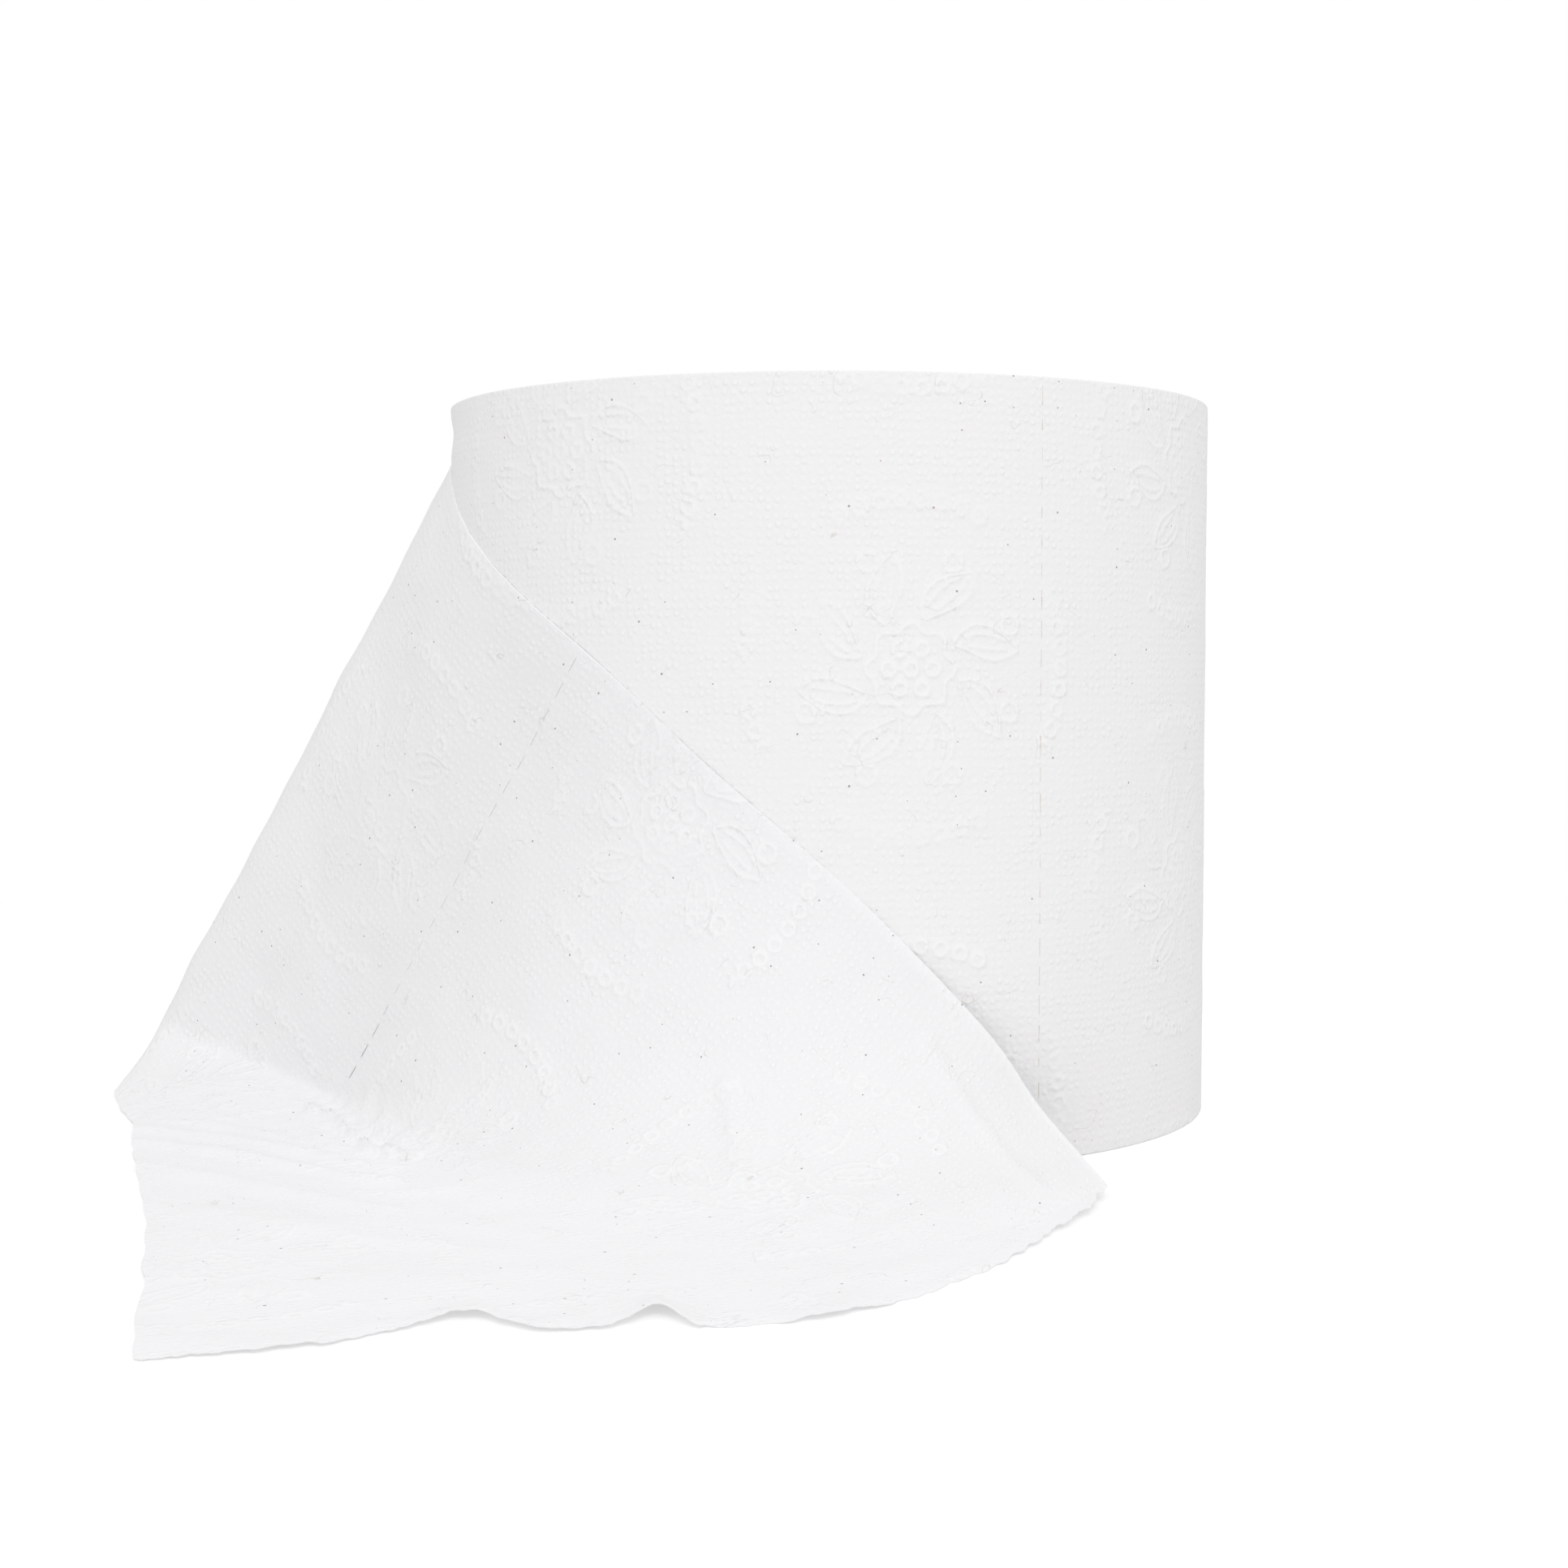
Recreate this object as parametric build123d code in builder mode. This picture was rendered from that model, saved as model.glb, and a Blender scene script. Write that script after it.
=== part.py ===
"""A toilet paper roll standing on its end, with its torn loose end drawn out in front.

Frame: millimetres, +Z up along the core's axis, origin on that axis at the surface
the roll stands on. The front is at -Y: the outer turn leaves the roll at the back
left, leans against its front on the way down and lies on the surface before it.
"""

import os
from math import cos, radians, sin

from build123d import *

# Wound roll, whose height is the width of its paper
ROLL_HEIGHT = 95.0
ROLL_DIAMETER = 103.5
PAPER_THICKNESS = 0.5

# Cardboard core that the paper is wound on
CORE_BORE_DIAMETER = 42.0
CORE_WALL = 1.0
CORE_CLEARANCE = 0.1

# Turns of the paper, which show on both ends of the roll as one spiral groove
TURN_PITCH = 5.0
TURN_MARGIN = 1.5
GROOVE_WIDTH = 0.8
GROOVE_DEPTH = 0.5

# Loose end: room between its leaning edge and the roll, rise of its lower face off
# the floor, number of strips that it is drawn with, the largest share of a straight
# stretch that a bend may take up, and the straight steps that draw a bend
LEAN_CLEARANCE = 0.5
FLOOR_RISE = 0.3
STRIPS = 33
BEND_SHARE = 0.9
BEND_STEPS = 4

# Cross lines of the loose end, from the roll to the torn edge. Each goes from the
# edge that leans on the roll, over the fold near the floor, to the edge on the floor:
# lean angle, lean height as a share of the roll's height, lean reach,
# fold angle, fold reach, fold height, floor edge angle, floor edge reach, bend.
# Angles are degrees round the core, and reaches are measured out from the roll.
CROSS_LINES = [
    (112.0, 0.985, -2.0, 112.0, -2.0, 9.0, 112.0, -2.0, 5.0),
    (126.0, 0.983, -0.7, 127.5, 0.5, 9.0, 128.0, 0.7, 5.0),
    (141.0, 0.978, 0.0, 143.5, 6.2, 9.0, 144.5, 6.7, 5.0),
    (155.0, 0.968, 0.0, 156.5, 15.8, 9.0, 158.0, 16.8, 5.0),
    (170.0, 0.948, 0.0, 167.0, 31.5, 9.0, 169.3, 32.9, 5.0),
    (185.5, 0.912, 0.0, 173.5, 45.2, 8.5, 176.4, 49.4, 5.0),
    (205.0, 0.812, 0.0, 178.6, 30.0, 4.5, 185.3, 44.6, 5.0),
    (233.6, 0.654, 0.0, 190.5, 15.9, 1.0, 195.4, 42.6, 6.0),
    (254.0, 0.499, 0.0, 226.3, 12.0, 0.0, 210.8, 46.0, 16.0),
    (273.2, 0.340, 0.0, 251.0, 16.0, 0.0, 225.0, 55.7, 26.0),
    (288.5, 0.184, 1.0, 271.5, 22.5, 0.0, 235.7, 71.7, 30.0),
    (295.5, 0.010, 19.8, 279.0, 42.0, 0.0, 243.8, 91.7, 34.0),
]

# Straight line past the tear, where the sheet ends before it is torn: angle and reach
PAST_TEAR_LEAN = (292.8, 51.3)
PAST_TEAR_EDGE = (248.9, 109.0)

# Torn edge seen from above, from the floor edge to the tip: angle and reach
TEAR = [
    (242.0, 97.0),
    (246.4, 89.0),
    (250.0, 80.8),
    (252.0, 71.8),
    (253.4, 69.4),
    (256.2, 72.6),
    (259.3, 71.2),
    (261.3, 65.1),
    (263.4, 69.1),
    (269.0, 65.2),
    (274.6, 54.9),
    (279.0, 46.1),
    (285.6, 33.6),
    (295.9, 19.1),
    (299.0, 16.0),
]
TORN_AWAY_REACH = 130.0

roll_radius = ROLL_DIAMETER / 2
core_radius = CORE_BORE_DIAMETER / 2 + CORE_WALL
paper_bore_radius = core_radius + CORE_CLEARANCE


def round_the_core(angle, reach, height):
    """Point at an angle round the core, a reach out from the roll and a height."""
    radius = roll_radius + reach
    return Vector(radius * cos(radians(angle)), radius * sin(radians(angle)), height)


def blend(before, start, end, after, share):
    """Smooth value between start and end, with the slopes that their neighbours give."""
    leave_slope = (end - before) / 2
    arrive_slope = (after - start) / 2
    fade = 3 * share**2 - 2 * share**3
    leave = share * (1 - share) ** 2
    arrive = share**2 * (share - 1)
    return start * (1 - fade) + end * fade + leave_slope * leave + arrive_slope * arrive


def cross_line(place):
    """Lean, fold and edge points and the bend, at a place counted in rows of CROSS_LINES."""
    last = len(CROSS_LINES) - 1
    row = min(int(place), last - 1)
    nearby = [CROSS_LINES[min(max(row + step, 0), last)] for step in (-1, 0, 1, 2)]
    sizes = [blend(*column, place - row) for column in zip(*nearby)]
    lean_angle, lean_share, lean_reach, fold_angle, fold_reach, fold_height = sizes[:6]
    edge_angle, edge_reach, bend = sizes[6:]
    lean = round_the_core(lean_angle, LEAN_CLEARANCE + lean_reach, FLOOR_RISE + lean_share * ROLL_HEIGHT)
    fold = round_the_core(fold_angle, fold_reach, FLOOR_RISE + fold_height)
    edge = round_the_core(edge_angle, edge_reach, FLOOR_RISE)
    return lean, fold, edge, bend


def bent_line(lean, fold, edge, bend):
    """Points of a cross line: straight, then round the fold in BEND_STEPS, then straight."""
    lean_leg = lean - fold
    edge_leg = edge - fold
    bend_start = fold + lean_leg * min(bend / lean_leg.length, BEND_SHARE)
    bend_end = fold + edge_leg * min(bend / edge_leg.length, BEND_SHARE)
    points = [lean]
    for step in range(BEND_STEPS + 1):
        share = step / BEND_STEPS
        early = bend_start + (fold - bend_start) * share
        late = fold + (bend_end - fold) * share
        points.append(early + (late - early) * share)
    points.append(edge)
    return points


def flat_facets(first, second, third, fourth):
    """Two flat three-cornered faces that fill the space between four corners."""
    halves = ((first, second, third), (first, third, fourth))
    return [Face(Wire.make_polygon(corners, close=True)) for corners in halves]


# Inner face of the loose end, as cross lines from inside the roll to past the tear
lean_past = round_the_core(*PAST_TEAR_LEAN, FLOOR_RISE)
edge_past = round_the_core(*PAST_TEAR_EDGE, FLOOR_RISE)
places = [(len(CROSS_LINES) - 1) * number / STRIPS for number in range(STRIPS + 1)]
inner_lines = [bent_line(*cross_line(place)) for place in places]
inner_lines.append(bent_line(lean_past, (lean_past + edge_past) / 2, edge_past, CROSS_LINES[-1][-1]))

# Sections across the loose end, with the paper's thickness square to its inner face
sections = []
for number, inner in enumerate(inner_lines):
    before = inner_lines[max(number - 1, 0)]
    after = inner_lines[min(number + 1, len(inner_lines) - 1)]
    outer = []
    for place, point in enumerate(inner):
        along = after[place] - before[place]
        across = inner[max(place - 1, 0)] - inner[min(place + 1, len(inner) - 1)]
        outer.append(point + along.cross(across).normalized() * PAPER_THICKNESS)
    if number == 0:
        root_side = round_the_core(CROSS_LINES[0][0], 0, 0).normalized()
        outer = [point + root_side * PAPER_THICKNESS for point in inner]
    sections.append((inner, outer))

# Skin of the loose end: flat facets over both faces, both side edges and both ends
facets = []
for (early_inner, early_outer), (late_inner, late_outer) in zip(sections, sections[1:]):
    for step in range(1, len(early_inner)):
        facets += flat_facets(early_inner[step], early_inner[step - 1], late_inner[step - 1], late_inner[step])
        facets += flat_facets(early_outer[step], late_outer[step], late_outer[step - 1], early_outer[step - 1])
    for side in (0, -1):
        facets += flat_facets(early_inner[side], early_outer[side], late_outer[side], late_inner[side])
for inner, outer in (sections[0], sections[-1]):
    for step in range(1, len(inner)):
        facets += flat_facets(inner[step - 1], inner[step], outer[step], outer[step - 1])

loose_end = Solid(Shell(facets))

# Spiral groove between the turns, drawn with half circles that grow by half a pitch
half_turns = 2 * int((roll_radius - paper_bore_radius - 2 * TURN_MARGIN) / TURN_PITCH)
first_radius = paper_bore_radius + TURN_MARGIN + GROOVE_WIDTH / 2
with BuildPart() as turn_groove:
    with BuildLine() as spiral:
        for half in range(half_turns):
            side = 1 if half % 2 == 0 else -1
            start_radius = first_radius + half * TURN_PITCH / 2
            end_radius = start_radius + TURN_PITCH / 2
            middle = side * (start_radius - end_radius) / 2
            top = side * (start_radius + end_radius) / 2
            ThreePointArc((side * start_radius, 0), (middle, top), (-side * end_radius, 0))
    with BuildSketch(Plane.XZ) as groove_section:
        with BuildLine():
            Polyline(
                (first_radius, -GROOVE_DEPTH),
                (first_radius + GROOVE_WIDTH, GROOVE_DEPTH),
                (first_radius - GROOVE_WIDTH, GROOVE_DEPTH),
                close=True,
            )
        make_face()
    sweep(path=spiral.line)

# Paper: the wound turns, and the loose end that runs out of the outer turn
with BuildPart() as paper_roll:
    with BuildSketch() as roll_section:
        Circle(roll_radius)
        Circle(paper_bore_radius, mode=Mode.SUBTRACT)
    extrude(amount=ROLL_HEIGHT)
    add(turn_groove.part.moved(Location((0, 0, ROLL_HEIGHT))), mode=Mode.SUBTRACT)
    add(turn_groove.part.mirror(Plane.XY), mode=Mode.SUBTRACT)
    add(loose_end)
    with BuildSketch() as torn_away:
        with BuildLine():
            tear_line = Spline([round_the_core(angle, reach, 0) for angle, reach in TEAR])
            tip_far = round_the_core(TEAR[-1][0], TORN_AWAY_REACH, 0)
            edge_far = round_the_core(TEAR[0][0], TORN_AWAY_REACH, 0)
            Polyline(tear_line @ 1, tip_far, edge_far, tear_line @ 0)
        make_face()
    extrude(amount=ROLL_HEIGHT, mode=Mode.SUBTRACT)
paper_roll.part.label = "paper_roll"

# Core tube, flush with both ends of the roll
with BuildPart() as core_tube:
    with BuildSketch() as core_section:
        Circle(core_radius)
        Circle(CORE_BORE_DIAMETER / 2, mode=Mode.SUBTRACT)
    extrude(amount=ROLL_HEIGHT)
core_tube.part.label = "core_tube"

os.makedirs("parts", exist_ok=True)
export_step(paper_roll.part, "parts/paper_roll.step")
export_step(core_tube.part, "parts/core_tube.step")
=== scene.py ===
# %% [markdown]
# # A toilet paper roll with its loose end
#
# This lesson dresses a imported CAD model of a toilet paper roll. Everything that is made
# here goes where those solids already are.

# %% Load the frame
import math

import bpy
import numpy as np
from mathutils import Matrix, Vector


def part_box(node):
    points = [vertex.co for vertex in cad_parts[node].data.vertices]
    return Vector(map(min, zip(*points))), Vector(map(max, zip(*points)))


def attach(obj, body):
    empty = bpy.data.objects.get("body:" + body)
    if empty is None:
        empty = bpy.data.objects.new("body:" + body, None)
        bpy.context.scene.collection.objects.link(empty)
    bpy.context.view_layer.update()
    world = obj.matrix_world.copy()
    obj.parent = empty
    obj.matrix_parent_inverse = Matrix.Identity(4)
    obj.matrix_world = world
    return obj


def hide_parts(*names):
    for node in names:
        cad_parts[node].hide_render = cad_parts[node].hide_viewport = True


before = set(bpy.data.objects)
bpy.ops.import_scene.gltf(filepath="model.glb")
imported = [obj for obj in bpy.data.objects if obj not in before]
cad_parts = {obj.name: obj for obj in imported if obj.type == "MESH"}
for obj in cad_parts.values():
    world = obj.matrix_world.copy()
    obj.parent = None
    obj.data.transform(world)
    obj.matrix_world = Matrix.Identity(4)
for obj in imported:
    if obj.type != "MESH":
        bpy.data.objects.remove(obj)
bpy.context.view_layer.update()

MM = 0.001

# %% [markdown]
# ## The camera
#
# The picture was taken from low in front of the roll, so its top end can't be seen. The
# camera was fitted to the roll's upper and lower rims: 61 mm above the floor, 342 mm in
# front of the axis and turned down by 2.9 degrees. Placing it first lets every later
# step be compared with the picture.

# %% Set up the camera
IMAGE_SIDE = 1932
FOCAL_PIXELS = 3025
CAMERA_PLACE = (-6.12, -341.6, 61.2)
CAMERA_DOWN = 2.92


def show(item):
    """Put an object into the scene."""
    bpy.context.scene.collection.objects.link(item)


camera_data = bpy.data.cameras.new("front_camera")
camera_data.sensor_width = 36.0
camera_data.lens = camera_data.sensor_width * FOCAL_PIXELS / IMAGE_SIDE
camera = bpy.data.objects.new("front_camera", camera_data)
camera.location = [size * MM for size in CAMERA_PLACE]
camera.rotation_euler = (math.radians(90 - CAMERA_DOWN), 0, 0)
show(camera)
bpy.context.scene.camera = camera
print("lens", round(camera_data.lens, 2), "mm")

# %% [markdown]
# ## The paper web
#
# The roll is one long web of paper. Every point of it has two web sizes: how far along
# the web it lies, and how high up its width. The pattern that is pressed into the paper
# follows the web from the roll's wall onto the loose end, so both are made from the
# same two sizes. Along the web, 0 is where the outer turn leaves the roll.

# %% Sizes of the wound roll, from the frame
roll_high = np.array(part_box("paper_roll")[1]) / MM
core_high = np.array(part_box("core_tube")[1]) / MM
ROLL_RADIUS = float(roll_high[0])
ROLL_HEIGHT = float(roll_high[2])
CORE_RADIUS = float(core_high[0])
LEAVE_ANGLE = 117.0


def wall_along(angle):
    """Place along the web of an angle on the roll's wall, in degrees below LEAVE_ANGLE."""
    return np.radians(angle - LEAVE_ANGLE) * ROLL_RADIUS


print("roll radius", ROLL_RADIUS, "height", ROLL_HEIGHT, "core radius", CORE_RADIUS)

# %% [markdown]
# ## The pressed pattern
#
# Tissue is pressed between rollers, which gives it bulk. Here the pattern is a common
# one: flowers with pointed petals round a cluster of rings, and chains of small rings
# between them. Its lines stand out, and a formula gives their height at each place on
# the web. It uses only numpy's own functions, because it is needed twice: with arrays
# for a soft relief in the mesh, and later with shader values for the sharp lines that
# no mesh of this size can hold.

# %% Lines, rings and petals
PETALS = 8
PETAL_START = 5.9
PETAL_END = 14.0
PETAL_HALF_WIDTH = 2.2
SWIRL = 0.045
PETAL_MARGIN = 0.01
VEIN_SHARE = 0.42
VEIN_HEIGHT = 0.8
VEIN_MARGIN = 0.2
SCALLOP_REACH = 5.0
SCALLOP_WAVE = 0.45
CLUSTER_RINGS = 6
CLUSTER_REACH = 2.7
HOOK_REACH = 13.6
HOOK_RADIUS = 1.1
CHAIN_RINGS = 50
CHAIN_REACH = 20.0
CHAIN_ARCS = 4
CHAIN_SPREAD = 0.55
RING_RADIUS = 0.8


def pressed_line(distance, softness):
    """Height, from 0 to 1, at a distance from a pressed line."""
    return np.exp(distance * distance * (-1 / softness**2))


def ring(out, aside, radius, softness):
    """Height of a ring round a middle."""
    return pressed_line(np.sqrt(out * out + aside * aside) - radius, softness)


def folded_turn(reach, angle, count):
    """Places out and aside, with the full turn folded into one of equal parts."""
    part = math.tau / count
    folded = (angle + part / 2) % part - part / 2
    return reach * np.cos(folded), reach * np.sin(folded)


def flower(x, y, softness):
    """Height, from 0 to 1, at places round a flower's middle."""
    reach = np.sqrt(x * x + y * y)
    angle = np.arctan2(y, x)
    out, aside = folded_turn(reach, angle + reach * SWIRL, PETALS)
    share = (out - PETAL_START) * (1 / (PETAL_END - PETAL_START))
    share = np.minimum(np.maximum(share, 0.0), 1.0)
    half_width = np.sin(share * math.pi) * PETAL_HALF_WIDTH
    aside = np.abs(aside)
    petal = pressed_line(aside - half_width, softness)
    petal = petal * (share > PETAL_MARGIN) * (share < 1 - PETAL_MARGIN)
    vein = pressed_line(aside - half_width * VEIN_SHARE, softness)
    vein = vein * (share > VEIN_MARGIN) * (share < 1 - VEIN_MARGIN)
    scallop = pressed_line(reach - np.cos(angle * PETALS) * SCALLOP_WAVE - SCALLOP_REACH, softness)
    middle = pressed_line(reach - RING_RADIUS, softness)
    out, aside = folded_turn(reach, angle, CLUSTER_RINGS)
    cluster = ring(out - CLUSTER_REACH, aside, RING_RADIUS, softness)
    out, aside = folded_turn(reach, angle + math.pi / PETALS, PETALS)
    hook = ring(out - HOOK_REACH, aside, HOOK_RADIUS, softness)
    quarter_out, quarter_aside = folded_turn(reach, angle, CHAIN_ARCS)
    out, aside = folded_turn(reach, angle, CHAIN_RINGS)
    chain = ring(out - CHAIN_REACH, aside, RING_RADIUS, softness)
    chain = chain * (np.abs(quarter_aside) < quarter_out * CHAIN_SPREAD)
    height = np.maximum(petal, vein * VEIN_HEIGHT)
    for line in (scallop, middle, cluster, hook, chain):
        height = np.maximum(height, line)
    return height


# %% [markdown]
# The flowers repeat in rows that are half a step out of line. Of the two grids of middles
# that this makes, each place takes the nearer one.

# %% The pattern over the web
FLOWER_STEP = (91.0, 53.0)
FLOWER_PLACE = (-178.0, 60.0)


def pressed(along, up, softness):
    """Height of the pattern, from 0 to 1, at places on the web."""
    column = (along - FLOWER_PLACE[0]) * (1 / FLOWER_STEP[0])
    row = (up - FLOWER_PLACE[1]) * (1 / FLOWER_STEP[1])
    x = ((column + 0.5) % 1.0 - 0.5) * FLOWER_STEP[0]
    y = ((row + 0.5) % 1.0 - 0.5) * FLOWER_STEP[1]
    other_x = (column % 1.0 - 0.5) * FLOWER_STEP[0]
    other_y = (row % 1.0 - 0.5) * FLOWER_STEP[1]
    nearer = (other_x * other_x + other_y * other_y) < (x * x + y * y)
    return flower(x + (other_x - x) * nearer, y + (other_y - y) * nearer, softness)


RELIEF = 0.06
RELIEF_SOFTNESS = 0.6


def relief(along, up):
    """Soft relief of the pattern in mm at places on the web."""
    return RELIEF * pressed(along, up, RELIEF_SOFTNESS)


# %% [markdown]
# ## Soft unevenness
#
# Nothing about paper is quite flat. A few sine waves with fixed directions make a smooth
# unevenness that is the same on every run, which a random texture wouldn't promise. Single
# humps and dents are soft bells.

# %% Smooth unevenness
WAVES = 7
WAVE_SPREAD = (0.7, 1.5)


def uneven(x, y, wavelength, seed):
    """Smooth values from about -1 to 1, with waves of about one length."""
    draw = np.random.default_rng(seed)
    total = np.zeros_like(x)
    for wave in range(WAVES):
        direction = draw.uniform(0, math.tau)
        length = wavelength * draw.uniform(*WAVE_SPREAD)
        phase = draw.uniform(0, math.tau)
        total += np.sin(math.tau * (x * math.cos(direction) + y * math.sin(direction)) / length + phase)
    return 2 * total / WAVES


def bell(distance, half_width):
    """Soft hump that is 1 at no distance and fades out past a half width."""
    return np.exp(-((distance / half_width) ** 2))


# %% [markdown]
# ## Meshes from grids
#
# The wall and the loose end are both grids of points. Filling a mesh from numpy arrays
# is quick, and each corner of a face can carry its web place in an attribute, which the
# material reads later on. Corners are better than points here: where the wall's turn
# closes, the faces on both sides share points that lie one turn apart on the web.

# %% Make a mesh from arrays
def mesh_piece(name, points, quads, web):
    """A new smooth object from points in mm, faces and the web places of their corners."""
    mesh = bpy.data.meshes.new(name)
    mesh.from_pydata((points * MM).tolist(), [], quads.tolist())
    mesh.shade_smooth()
    attribute = mesh.attributes.new("web", "FLOAT_VECTOR", "CORNER")
    attribute.data.foreach_set("vector", web.astype(np.float32).ravel())
    mesh.validate()
    piece = bpy.data.objects.new(name, mesh)
    show(piece)
    print(name, len(mesh.polygons), "faces")
    return piece


def grid_quads(rows, columns, start=0, closed=False, flip=False):
    """Faces of a grid of points, whose numbers go row by row."""
    last = columns if closed else columns - 1
    row, column = np.meshgrid(np.arange(rows - 1), np.arange(last), indexing="ij")
    after = (column + 1) % columns
    corners = [row * columns + column, row * columns + after]
    corners += [(row + 1) * columns + after, (row + 1) * columns + column]
    quads = np.stack(corners, axis=-1).reshape(-1, 4) + start
    return quads[:, ::-1] if flip else quads


# %% [markdown]
# ## The wound roll
#
# The wall is one closed ring: up the outside, round the rim, in over the top end, down
# the bore and back. Its points are closer together at the front, where the picture
# looks, and further apart at the back, so that the pressed pattern stays fine within
# the number of faces that a piece may have.

# %% Profile of the wound roll: radius and height
FRONT_FROM = 180
FRONT_TO = 370
FRONT_COLUMNS = 380
BACK_COLUMNS = 150
WALL_ROWS = 168
RIM_ROUND = 0.2
RIM_STEPS = 5
END_DROP = 0.9
END_SLOPE = 0.8
BORE_ROOM = 0.1

rim_turns = np.linspace(0, math.pi / 2, RIM_STEPS + 1)
rim_out = ROLL_RADIUS - RIM_ROUND + RIM_ROUND * np.cos(rim_turns)
rim_lift = RIM_ROUND * np.sin(rim_turns) - RIM_ROUND
bore = CORE_RADIUS + BORE_ROOM
slope_out = ROLL_RADIUS - RIM_ROUND - END_SLOPE
wall_heights = np.linspace(RIM_ROUND, ROLL_HEIGHT - RIM_ROUND, WALL_ROWS)
profile = [(ROLL_RADIUS, level) for level in wall_heights]
profile += list(zip(rim_out[1:], ROLL_HEIGHT + rim_lift[1:]))
profile += [(out, ROLL_HEIGHT - END_DROP) for out in (slope_out, bore)]
profile += [(out, END_DROP) for out in (bore, slope_out)]
profile += list(zip(rim_out[:0:-1], -rim_lift[:0:-1]))
profile = np.array(profile)
print("profile of", len(profile), "points")

# %% [markdown]
# The relief fades out towards both rims, large soft waves make the wall a little uneven, and
# the upper rim is dented at the left, where the loose end pulls at it.

# %% Wall, rims, ends and bore of the wound roll
# height, length and seed of the soft waves
WALL_WAVES = [(0.05, 28.0, 5), (0.02, 9.0, 6)]
PRESS_FADE = 1.5
WALL_INSET = 0.10
WALL_BACKING = 0.5
DENT_ANGLE = 188.0
DENT_HALF_ANGLE = 14.0
DENT_DEPTH = 0.22
DENT_STEP = 7.2
DENT_REACH = 9.0

front_angles = np.linspace(FRONT_FROM, FRONT_TO, FRONT_COLUMNS, endpoint=False)
back_angles = np.linspace(FRONT_TO, FRONT_FROM + 360, BACK_COLUMNS, endpoint=False)
angles = np.concatenate([front_angles, back_angles])
below_leave = (angles - LEAVE_ANGLE) % 360 - 360 + LEAVE_ANGLE
radius = np.repeat(profile[:, :1], len(angles), axis=1)
height = np.repeat(profile[:, 1:], len(angles), axis=1)
along = np.repeat(wall_along(below_leave)[None, :], len(profile), axis=0)
on_wall = np.clip((radius - slope_out) / (ROLL_RADIUS - slope_out), 0, 1)
rim_near = np.minimum(height, ROLL_HEIGHT - height)
wall_relief = relief(along, height) * np.clip(rim_near / PRESS_FADE, 0, 1)
waves = sum(tall * uneven(along, height, length, seed) for tall, length, seed in WALL_WAVES)
from_top = ROLL_HEIGHT - height
dent = np.cos(math.tau * from_top / DENT_STEP) - 0.5
dent *= bell(angles - DENT_ANGLE, DENT_HALF_ANGLE) * bell(from_top, DENT_REACH)
radius = radius + on_wall * (wall_relief + waves + DENT_DEPTH * dent - WALL_INSET)
turned = np.radians(angles)[None, :]
points = np.stack([radius * np.cos(turned), radius * np.sin(turned), height], axis=-1)
web = np.stack([along, height, np.full_like(along, WALL_BACKING)], axis=-1)
rows, columns = radius.shape
quads = grid_quads(rows, columns, closed=True)
closing = grid_quads(2, columns, closed=True)
closing = np.where(closing >= columns, closing - columns, closing + (rows - 1) * columns)
quads = np.concatenate([quads, closing])
corner_web = web.reshape(-1, 3)[quads]
turn_length = math.tau * ROLL_RADIUS
turn_closes = np.ptp(corner_web[..., 0], axis=1, keepdims=True) > turn_length / 2
corner_web[..., 0] += turn_length * (turn_closes & (corner_web[..., 0] < -turn_length / 2))
wound_roll = mesh_piece("wound_roll", points.reshape(-1, 3), quads, corner_web)

# %% [markdown]
# ## Node trees
#
# Two things on the roll follow a rule: the turns on its ends and the rows of slits in its
# wall. Geometry Nodes trees make both. A tree is built with its inputs first, and its
# result is turned into a plain mesh.

# %% Helpers for the node trees
def link(tree, source, output, target, socket):
    """Join two nodes of a tree by the names or numbers of their sockets."""
    tree.links.new(source.outputs[output], target.inputs[socket])


def new_tree(name, inputs):
    """A geometry tree with named inputs and one geometry output."""
    tree = bpy.data.node_groups.new(name, "GeometryNodeTree")
    for label, kind in inputs.items():
        tree.interface.new_socket(label, in_out="INPUT", socket_type="NodeSocket" + kind)
    tree.interface.new_socket("Geometry", in_out="OUTPUT", socket_type="NodeSocketGeometry")
    return tree, tree.nodes.new("NodeGroupInput")


def close_tree(tree, sizes, last):
    """End a tree: make instances real, set the finish and give the result out."""
    real = tree.nodes.new("GeometryNodeRealizeInstances")
    finish = tree.nodes.new("GeometryNodeSetMaterial")
    result = tree.nodes.new("NodeGroupOutput")
    link(tree, last, 0, real, 0)
    link(tree, real, 0, finish, "Geometry")
    link(tree, sizes, "Finish", finish, "Material")
    link(tree, finish, 0, result, "Geometry")


def grown(name, tree, sizes, place):
    """A plain mesh object from a node tree, with its place put into the mesh."""
    seed = bpy.data.objects.new(name + "_seed", bpy.data.meshes.new(name + "_seed"))
    show(seed)
    modifier = seed.modifiers.new("grow", "NODES")
    modifier.node_group = tree
    for socket in tree.interface.items_tree:
        if socket.in_out == "INPUT":
            modifier[socket.identifier] = sizes[socket.name]
    view = bpy.context.evaluated_depsgraph_get()
    mesh = bpy.data.meshes.new_from_object(seed.evaluated_get(view))
    seed.modifiers.remove(modifier)
    bpy.data.objects.remove(seed)
    mesh.transform(place)
    mesh.name = name
    piece = bpy.data.objects.new(name, mesh)
    show(piece)
    print(name, len(mesh.polygons), "faces")
    return piece


# %% [markdown]
# ## The turns on the ends
#
# From above, the web shows as one long spiral of paper edges: a spiral curve, a small
# profile swept along it and a little noise, because the edges never lie quite level.

# %% A node tree for the turns
SPIRAL_STEPS = 84
NOISE_SCALE = 900.0


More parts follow.
